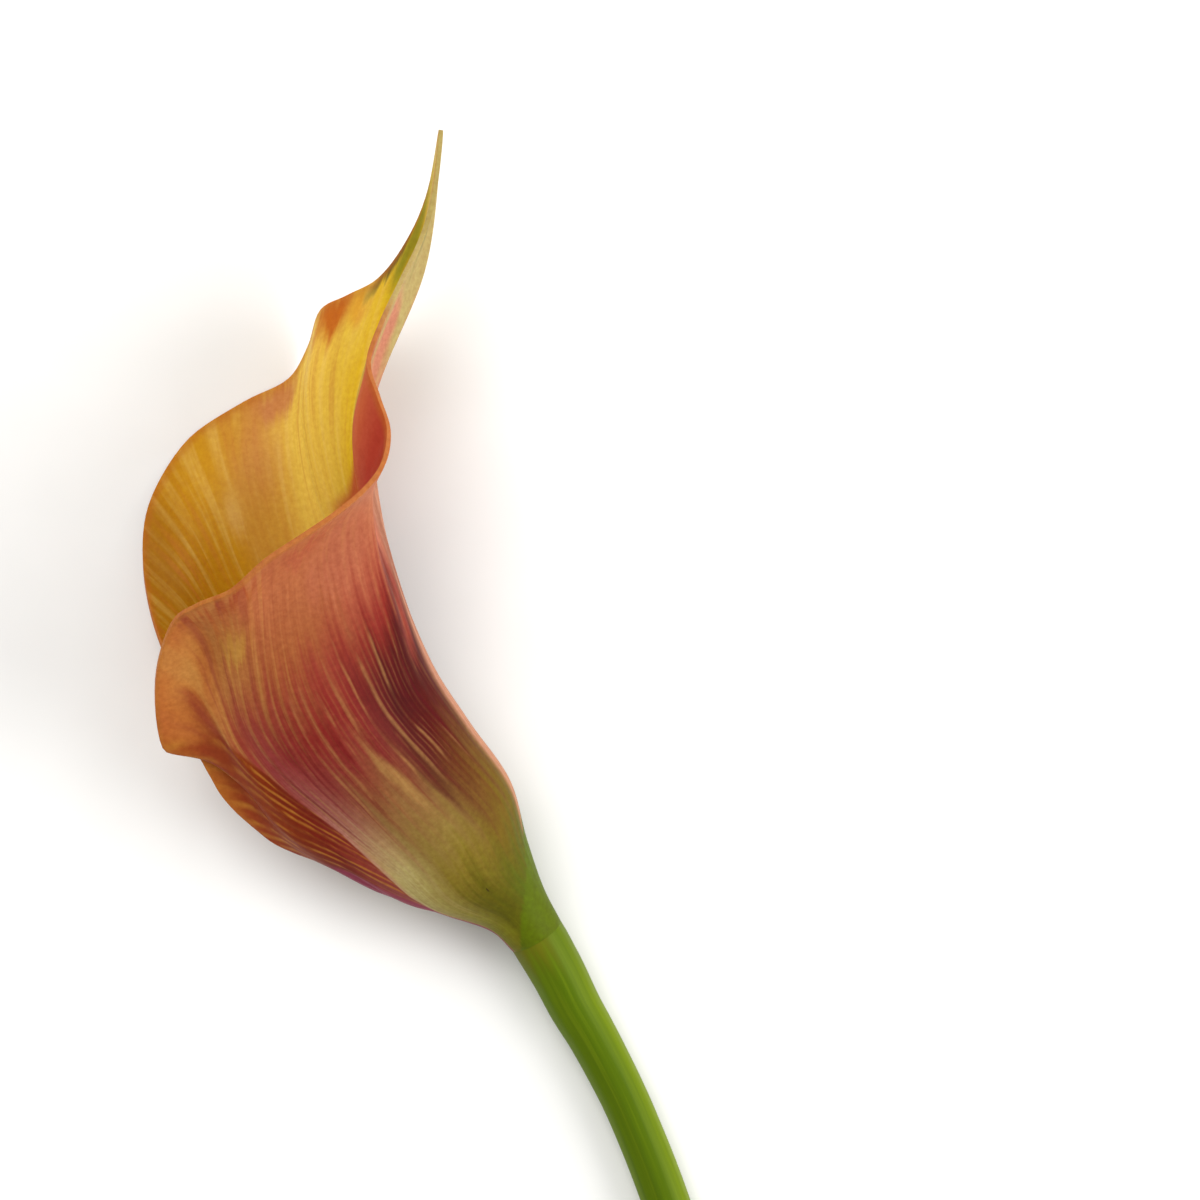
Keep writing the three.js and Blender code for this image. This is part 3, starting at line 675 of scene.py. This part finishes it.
anthers, ovaries = [], []
h, k = SPADIX_FOOT + 0.5, 0
while h < SPADIX_TOP - 0.05:
    angle = k * GOLDEN_ANGLE
    body = spadix_radius(h)
    female = h < SPADIX_FOOT + OVARY_BAND
    size = OVARY if female else ANTHER * (1 - 0.25 * float(ease(0.9, 1, spadix_share(h))))
    outward = SIDE * math.cos(angle) + TOP * math.sin(angle)
    lean = float(ease(SPADIX_TOP - 3.5, SPADIX_TOP, h)) * TIP_LEAN
    outward = outward * math.cos(lean) + AXIS * math.sin(lean)
    upward = np.cross(outward, np.cross(AXIS, outward))
    upward /= np.linalg.norm(upward)
    (ovaries if female else anthers).append(
        (round_axis(h, angle, max(body - SUNK, 0)), outward, upward, size)
    )
    h += ROOM * size * size / max(2 * math.pi * (body + 0.15), 3) * (1.1 if female else 1)
    k += 1

spadix_pieces = []
for name, places in (("spadix_anthers", anthers), ("spadix_ovaries", ovaries)):
    piece = bpy.data.objects.new(name, floret_copies(floret, places))
    bpy.context.collection.objects.link(piece)
    spadix_pieces.append(piece)
bpy.data.objects.remove(floret)

# Anthers are dry cushions under loose golden pollen: quite matt, and each its own shade.
pollen, tree = new_material("anther_pollen")
metres = add(tree, "ShaderNodeTexCoord", {}).outputs["Object"]
shades = add(tree, "ShaderNodeTexNoise", {"Vector": metres, "Scale": 0.9 * PER_MM, "Detail": 1})
pollen_colour = add(tree, "ShaderNodeValToRGB", {0: shades}, stops=(
    (0.3, "#b8740c"), (0.5, "#dc9f1e"), (0.7, "#efc850"),
))
grains = add(tree, "ShaderNodeTexNoise", {"Vector": metres, "Scale": 9 * PER_MM, "Detail": 2})
relief = add(tree, "ShaderNodeBump", {"Height": grains, "Strength": 0.5, "Distance": 0.05 * MM})
dust = add(tree, "ShaderNodeBsdfPrincipled", {
    "Base Color": pollen_colour, "Normal": relief, "Roughness": 0.85, "IOR": 1.45,
    "Specular IOR Level": 0.2,
})
add(tree, "ShaderNodeOutputMaterial", {"Surface": dust})

# Ovaries are moist green flesh: smooth, slightly see-through, paler on some than on others.
green_flesh, tree = new_material("ovary_flesh")
metres = add(tree, "ShaderNodeTexCoord", {}).outputs["Object"]
shades = add(tree, "ShaderNodeTexNoise", {"Vector": metres, "Scale": 0.7 * PER_MM, "Detail": 2})
ovary_colour = add(tree, "ShaderNodeValToRGB", {0: shades}, stops=(
    (0.3, "#93a648"), (0.5, "#b5c26a"), (0.7, "#d3da98"),
))
relief = add(tree, "ShaderNodeBump", {"Height": shades, "Strength": 0.2, "Distance": 0.1 * MM})
moist_flesh = add(tree, "ShaderNodeBsdfPrincipled", {
    "Base Color": ovary_colour, "Normal": relief, "Roughness": 0.4, "IOR": 1.4,
    "Subsurface Weight": 0.2, "Subsurface Radius": (0.7, 1.0, 0.4), "Subsurface Scale": 0.5 * MM,
})
add(tree, "ShaderNodeOutputMaterial", {"Surface": moist_flesh})
core.data.materials.append(pollen)
spadix_pieces[0].data.materials.append(pollen)
spadix_pieces[1].data.materials.append(green_flesh)
for piece in (core, *spadix_pieces):
    nothing_selected()
    piece.select_set(True)
    bpy.context.view_layer.objects.active = piece
    bpy.ops.object.shade_smooth()
    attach(piece, "root")
    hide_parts("spadix")

# --------------------------------------------------------------------------------- stem
# The stem is a solid, leafless stalk of watery flesh under a smooth waxy skin with faint
# ribs. It swells into the foot of the spathe and is cut straight across at its other end.
# Middle line from the neck to the cut end, and radius, in mm.
STEM = np.array((
    (0, 0, 0, 4.1), (0.9, -1.5, -0.35, 4.1), (3.3, -5.8, -1.15, 3.94),
    (5.5, -10.2, -1.65, 3.8), (8.0, -14.5, -2.05, 3.6), (10.3, -18.8, -2.3, 3.5),
    (12.5, -23.2, -2.4, 3.42), (14.4, -27.5, -2.4, 3.4), (17.8, -36.1, -2.4, 3.42),
    (22.9, -51.5, -2.35, 3.45), (32.1, -82.0, -2.3, 3.52), (40.9, -113.0, -2.25, 3.58),
    (49.0, -143.0, -2.2, 3.64), (56.6, -172.5, -2.15, 3.7),
))
# Rings inside the spathe's foot: height up the tube's axis from the neck, and radius, in mm.
FOOT_RINGS = np.array(((2.0, 3.0), (0.9, 3.06), (0.12, 3.95)))
RIBS = 11
RIB_DEPTH = 0.012  # of the radius
STEM_SIDES = 64
STEM_STEPS = 220
nothing_selected()
bpy.ops.mesh.primitive_grid_add(
    x_subdivisions=STEM_SIDES, y_subdivisions=STEM_STEPS, size=2, calc_uvs=True
)
stem = bpy.context.object
stem.name = stem.data.name = "stem_stalk"
free_steps = STEM_STEPS - len(FOOT_RINGS)
line = smooth_line(STEM[:, :3] + NECK, free_steps)
line = np.vstack([NECK + AXIS * FOOT_RINGS[:, :1], line])
gone = np.append(0, np.cumsum(np.linalg.norm(np.diff(STEM[:, :3], axis=0), axis=1)))
radii = np.interp(np.linspace(0, gone[-1], free_steps + 1), gone, STEM[:, 3])
radii = np.append(FOOT_RINGS[:, 1], radii)
for v in stem.data.vertices:
    i, j = round((v.co.x + 1) / 2 * STEM_SIDES), round((v.co.y + 1) / 2 * STEM_STEPS)
    a = 2 * math.pi * i / STEM_SIDES
    along = line[min(j + 1, STEM_STEPS)] - line[max(j - 1, 0)]
    side = np.cross(along, (0, 0, 1))
    side /= np.linalg.norm(side)
    up = np.cross(side, along / np.linalg.norm(along))
    ribs = 1 - RIB_DEPTH * (0.5 + 0.5 * math.cos(RIBS * a + 0.6 * math.sin(0.05 * j)))
    p = line[j] + (side * math.cos(a) + up * math.sin(a)) * radii[j] * ribs
    p[2] = max(p[2], 0)
    v.co = p * MM
stem.data.uv_layers[0].name = "stalk"
bpy.ops.object.mode_set(mode="EDIT")
bpy.ops.mesh.select_all(action="SELECT")
bpy.ops.mesh.remove_doubles(threshold=0.01 * MM)
bpy.ops.mesh.fill_holes(sides=0)
bpy.ops.mesh.select_all(action="SELECT")
bpy.ops.mesh.normals_make_consistent(inside=False)
bpy.ops.mesh.select_all(action="DESELECT")
# The cut end: a rim of skin, then the flesh, which has sunk a little as it dried.
bm = bmesh.from_edit_mesh(stem.data)
bm.faces.ensure_lookup_table()
for face in bm.faces:
    face.select = len(face.verts) == STEM_SIDES and face.normal.y < -0.5
    if face.select:
        face.material_index = 1
bmesh.update_edit_mesh(stem.data)
for thickness, depth in ((0.35, 0), (0.5, -0.08), (1.2, -0.1)):
    bpy.ops.mesh.inset(thickness=thickness * MM, depth=depth * MM)
bpy.ops.mesh.poke()
bpy.ops.object.mode_set(mode="OBJECT")

# The epidermis of the stalk is smooth wax over green flesh: a satin gloss, with fine darker
# lines along it. It is darker along the top, and a painted highlight lightens and yellows the right
# side.
waxy_skin, tree = new_material("stem_epidermis")
uv = add(tree, "ShaderNodeUVMap", {}, uv_map="stalk")
round_stalk, down_stalk = add(tree, "ShaderNodeSeparateXYZ", {0: uv}).outputs[:2]
# round the stalk: the left, a darker top, and a right side lit up by a painted highlight
stem_colour = add(tree, "ShaderNodeValToRGB", {0: round_stalk}, stops=(  # left, top, right
    (0.0, "#627808"), (0.1, "#546a02"), (0.2, "#4a5e02"), (0.28, "#4c6202"),
    (0.36, "#5c7002"), (0.44, "#6c7e06"), (0.52, "#667808"), (0.7, "#5c7008"),
    (1.0, "#627808"),
))
angle = add(tree, "ShaderNodeMath", {0: round_stalk, 1: 2 * math.pi}, operation="MULTIPLY")
sine = add(tree, "ShaderNodeMath", {0: angle}, operation="SINE")
cosine = add(tree, "ShaderNodeMath", {0: angle}, operation="COSINE")
grain = add(tree, "ShaderNodeCombineXYZ", {0: sine, 1: cosine, 2: down_stalk})
grain = add(tree, "ShaderNodeVectorMath", {0: grain, 1: (5, 5, 6)}, operation="MULTIPLY")
streaks = add(tree, "ShaderNodeTexNoise", {"Vector": grain, "Scale": 1, "Detail": 4})
dark = add(tree, "ShaderNodeMapRange", {0: streaks, 1: 0.48, 2: 0.72, 3: 0, 4: 0.35}, **SMOOTH)
stem_colour = add(tree, "ShaderNodeMix", {0: dark, 6: stem_colour, 7: colour("#3c5406")}, **COLOURS)
pale = add(tree, "ShaderNodeMapRange", {0: streaks, 1: 0.5, 2: 0.25, 3: 0, 4: 0.22}, **SMOOTH)
stem_colour = add(tree, "ShaderNodeMix", {0: pale, 6: stem_colour, 7: colour("#7c8e14")}, **COLOURS)
neck = add(
    tree, "ShaderNodeMath", {0: streaks, 1: -0.08, 2: down_stalk}, operation="MULTIPLY_ADD"
)
neck = add(tree, "ShaderNodeMapRange", {0: neck, 1: 0.02, 2: -0.03, 3: 0, 4: 0.8}, **SMOOTH)
left = add(tree, "ShaderNodeMapRange", {0: round_stalk, 1: 0.38, 2: 0.24}, **SMOOTH)
neck = add(tree, "ShaderNodeMath", {0: neck, 1: left}, operation="MULTIPLY")
stem_colour = add(tree, "ShaderNodeMix", {0: neck, 6: stem_colour, 7: colour("#66620f")}, **COLOURS)
by_foot = add(tree, "ShaderNodeMapRange", {0: down_stalk, 1: 0.09, 2: 0.01, 3: 0, 4: 0.7}, **SMOOTH)
right = add(tree, "ShaderNodeMapRange", {0: round_stalk, 1: 0.28, 2: 0.36}, **SMOOTH)
by_foot = add(tree, "ShaderNodeMath", {0: by_foot, 1: right}, operation="MULTIPLY")
stem_colour = add(tree, "ShaderNodeMix", {0: by_foot, 6: stem_colour, 7: colour("#546606")}, **COLOURS)
relief = add(tree, "ShaderNodeBump", {"Height": streaks, "Strength": 0.3, "Distance": 0.1 * MM})
wax = add(tree, "ShaderNodeBsdfPrincipled", {
    "Base Color": stem_colour, "Normal": relief, "Roughness": 0.42, "IOR": 1.42,
    "Specular IOR Level": 0.1, "Subsurface Weight": 0.08,
    "Subsurface Radius": (0.6, 1.0, 0.2), "Subsurface Scale": 0.6 * MM,
})
add(tree, "ShaderNodeOutputMaterial", {"Surface": wax})

# Cut flesh: wet and pale, with a greener ring under the skin and the cut ends of strands.
cut_flesh, tree = new_material("stem_cut_flesh")
metres = add(tree, "ShaderNodeTexCoord", {}).outputs["Object"]
away = add(
    tree, "ShaderNodeVectorMath", {0: metres, 1: tuple(line[-1] * MM)}, operation="DISTANCE"
)
cut_radius = STEM[-1, 3] * MM
from_middle = add(tree, "ShaderNodeMapRange", {0: away.outputs["Value"], 1: 0, 2: cut_radius})
cut_colour = add(tree, "ShaderNodeValToRGB", {0: from_middle}, stops=(
    (0.0, "#d3d9a6"), (0.6, "#c6d08c"), (0.82, "#a3b356"), (0.93, "#8a9a3a"), (1.0, "#75761f"),
))
strands = add(tree, "ShaderNodeTexVoronoi", {"Vector": metres, "Scale": 1.1 * PER_MM})
strands = add(
    tree, "ShaderNodeMapRange", {0: strands.outputs["Distance"], 1: 0.32, 2: 0.18, 3: 0, 4: 0.6},
    **SMOOTH
)
cut_colour = add(
    tree, "ShaderNodeMix", {0: strands, 6: cut_colour, 7: colour("#7f8d3c")}, **COLOURS
)
relief = add(tree, "ShaderNodeBump", {"Height": strands, "Strength": 0.4, "Distance": 0.1 * MM})
wet_flesh = add(tree, "ShaderNodeBsdfPrincipled", {
    "Base Color": cut_colour, "Normal": relief, "Roughness": 0.3, "IOR": 1.36,
    "Subsurface Weight": 0.2, "Subsurface Radius": (0.8, 1.0, 0.4), "Subsurface Scale": 0.6 * MM,
})
add(tree, "ShaderNodeOutputMaterial", {"Surface": wet_flesh})
stem.data.materials.append(waxy_skin)
stem.data.materials.append(cut_flesh)
bpy.ops.object.shade_smooth_by_angle(angle=math.radians(50))
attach(stem, "root")
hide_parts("stem")

# ------------------------------------------------------------------- table, light, camera
# A plain pale table top under soft studio light from above, seen straight down as in the
# photograph: the tail points away and the stem runs off below the frame.
nothing_selected()
bpy.ops.mesh.primitive_plane_add(size=4, location=(0, 0, 0))
floor = bpy.context.object
floor.name = "table_top"
# Matt white paint on a board: even, with a faint unevenness of the roller.
matt_paint, tree = new_material("matt_white_paint")
metres = add(tree, "ShaderNodeTexCoord", {}).outputs["Object"]
roller = add(tree, "ShaderNodeTexNoise", {"Vector": metres, "Scale": 0.06 * PER_MM, "Detail": 2})
paint_colour = add(tree, "ShaderNodeValToRGB", {0: roller}, stops=(
    (0.3, "#f1f0ed"), (0.7, "#f4f3f0"),
))
relief = add(tree, "ShaderNodeBump", {"Height": roller, "Strength": 0.05, "Distance": 0.1 * MM})
dry_paint = add(tree, "ShaderNodeBsdfPrincipled", {
    "Base Color": paint_colour, "Normal": relief, "Roughness": 0.8,
})
add(tree, "ShaderNodeOutputMaterial", {"Surface": dry_paint})
floor.data.materials.append(matt_paint)

world = bpy.data.worlds.new("studio")
bpy.context.scene.world = world
world.use_nodes = True
surroundings = world.node_tree.nodes["Background"]
surroundings.inputs["Color"].default_value = colour("#ffffff")
surroundings.inputs["Strength"].default_value = 0.55

for name, place, width, watts in (
    ("key_softbox", (-0.45, 0.75, 1.1), 0.9, 12),
    ("fill_softbox", (0.85, 0.0, 0.5), 0.8, 9),
):
    lamp = bpy.data.lights.new(name, "AREA")
    lamp.size = width
    lamp.energy = watts
    box = bpy.data.objects.new(name, lamp)
    box.location = place
    box.rotation_euler = box.location.to_track_quat("Z", "Y").to_euler()
    bpy.context.collection.objects.link(box)

# The lens frames 168 mm at the height of the flower's outline, as the photograph does.
FRAME_MIDDLE = (0.00747, 0.0775)
CAMERA_HEIGHT = 0.9
LENS = 187.3
camera = bpy.data.objects.new("camera", bpy.data.cameras.new("camera"))
camera.location = (*FRAME_MIDDLE, CAMERA_HEIGHT)
camera.data.lens = LENS
camera.data.sensor_width = 36
bpy.context.collection.objects.link(camera)
bpy.context.scene.camera = camera
bpy.context.scene.view_settings.view_transform = "Standard"
